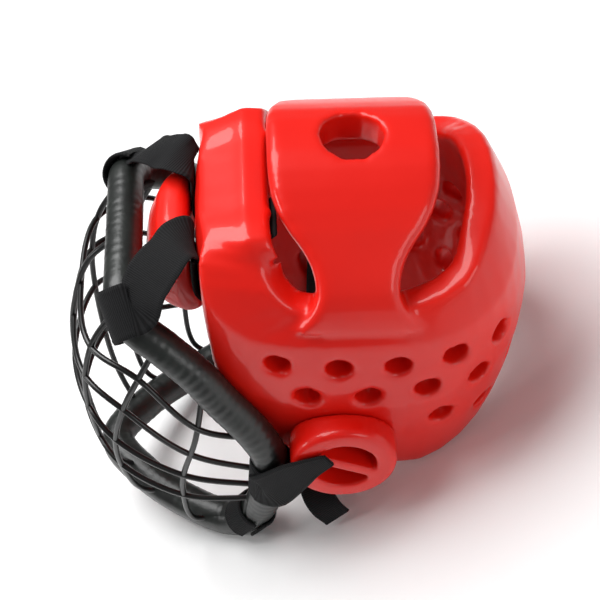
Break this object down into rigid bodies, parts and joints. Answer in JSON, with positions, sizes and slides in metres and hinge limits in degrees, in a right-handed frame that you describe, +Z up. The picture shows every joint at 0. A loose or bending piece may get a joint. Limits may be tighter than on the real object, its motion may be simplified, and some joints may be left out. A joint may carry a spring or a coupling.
{
  "type": "sparring headgear with face shield",
  "caption": "Red dipped-foam sparring head guard with vent holes, brow and ear pads, a black wire face cage in a padded rim, and black straps.",
  "frame": {"origin": "middle of the bounding box at the floor that the guard rests on", "axes": "+Z up, -Y the way the face looks, tipped up by the pose, +X the wearer's left"},
  "size_m": [0.2364, 0.3674, 0.2513],
  "materials": {
    "red_vinyl": "glossy dipped vinyl over foam",
    "black_vinyl": "fine-grained vinyl cover, satin",
    "black_webbing": "woven webbing, matte",
    "black_wire": "glossy dipped coating",
    "black_plastic": "moulded, satin"
  },
  "bodies": {
    "root": {"shell": "red_vinyl", "brow_pad": "red_vinyl", "ear_pad_left": "red_vinyl", "ear_pad_right": "red_vinyl", "cage_wires": "black_wire", "rim_padding": "black_vinyl", "top_strap_left": "black_webbing", "top_strap_right": "black_webbing", "jaw_strap_left": "black_webbing", "jaw_strap_right": "black_webbing", "jaw_loop_left": "black_webbing", "jaw_loop_right": "black_webbing", "chin_strap": "black_webbing", "chin_buckle": "black_plastic"}
  },
  "joints": []
}
